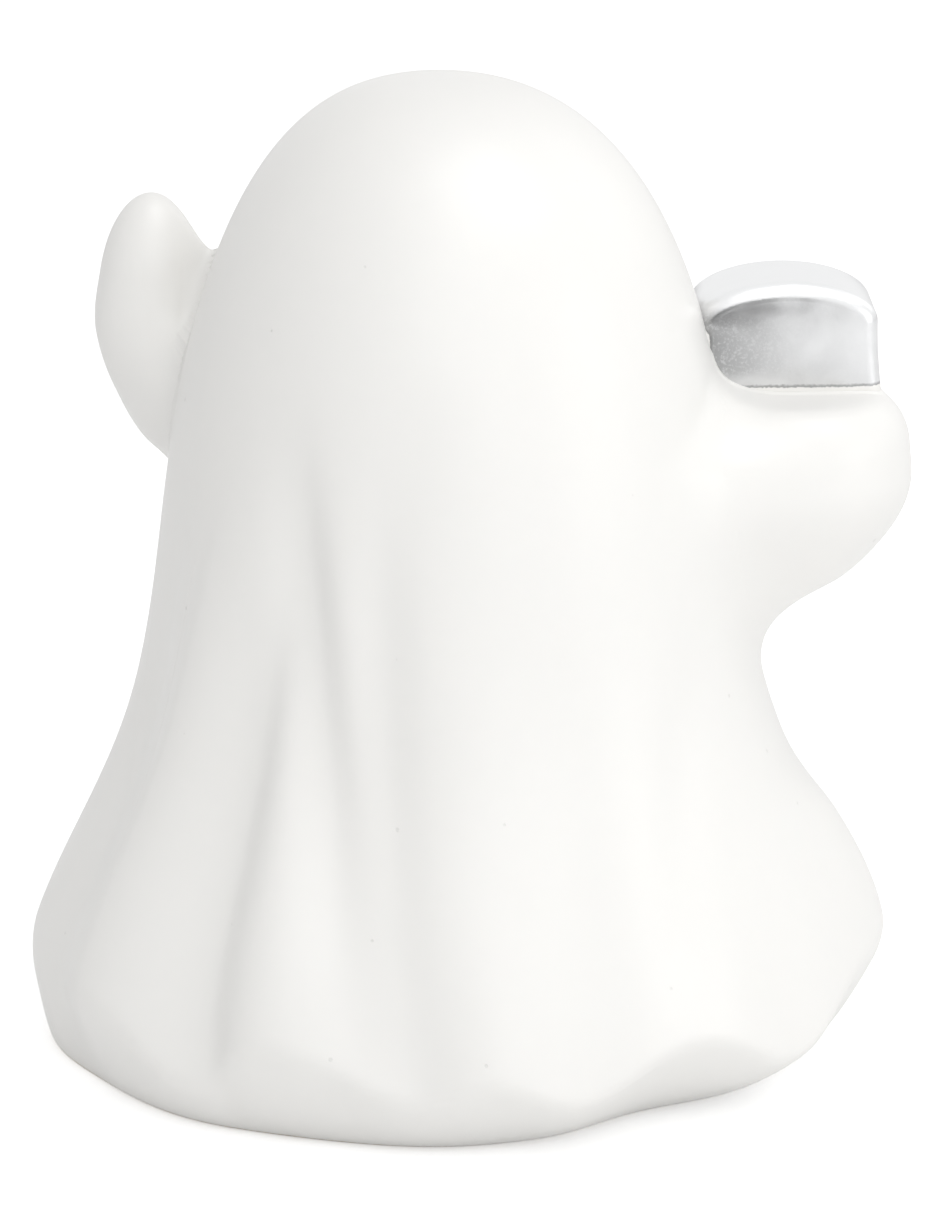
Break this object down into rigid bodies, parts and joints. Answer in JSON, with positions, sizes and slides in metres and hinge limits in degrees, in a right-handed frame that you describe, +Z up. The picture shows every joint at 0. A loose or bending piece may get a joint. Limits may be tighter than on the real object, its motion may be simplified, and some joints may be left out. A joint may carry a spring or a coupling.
{
  "type": "ceramic ghost figurine",
  "caption": "Glazed ceramic ghost figurine: draped body with folds and a wavy hem, one arm raised, the other a flat hand holding a silver arch-topped block. Felt base.",
  "frame": {"origin": "on the body's axis, in the plane of the foot and the felt's underside, where the figure stands on a table", "axes": "+Z up, -Y the way the ghost faces, +X the ghost's own left, where the raised arm is"},
  "size_m": [0.1285, 0.1172, 0.1452],
  "materials": {
    "white_glaze": "gloss",
    "silver_lustre": "polished",
    "black_glaze": "gloss",
    "felt": "matte"
  },
  "bodies": {
    "root": {"body_shell": "white_glaze", "left_arm": "white_glaze", "right_arm": "white_glaze", "silver_block": "silver_lustre", "left_eye": "black_glaze", "right_eye": "black_glaze", "mouth": "black_glaze", "base_felt": "felt"}
  },
  "joints": []
}
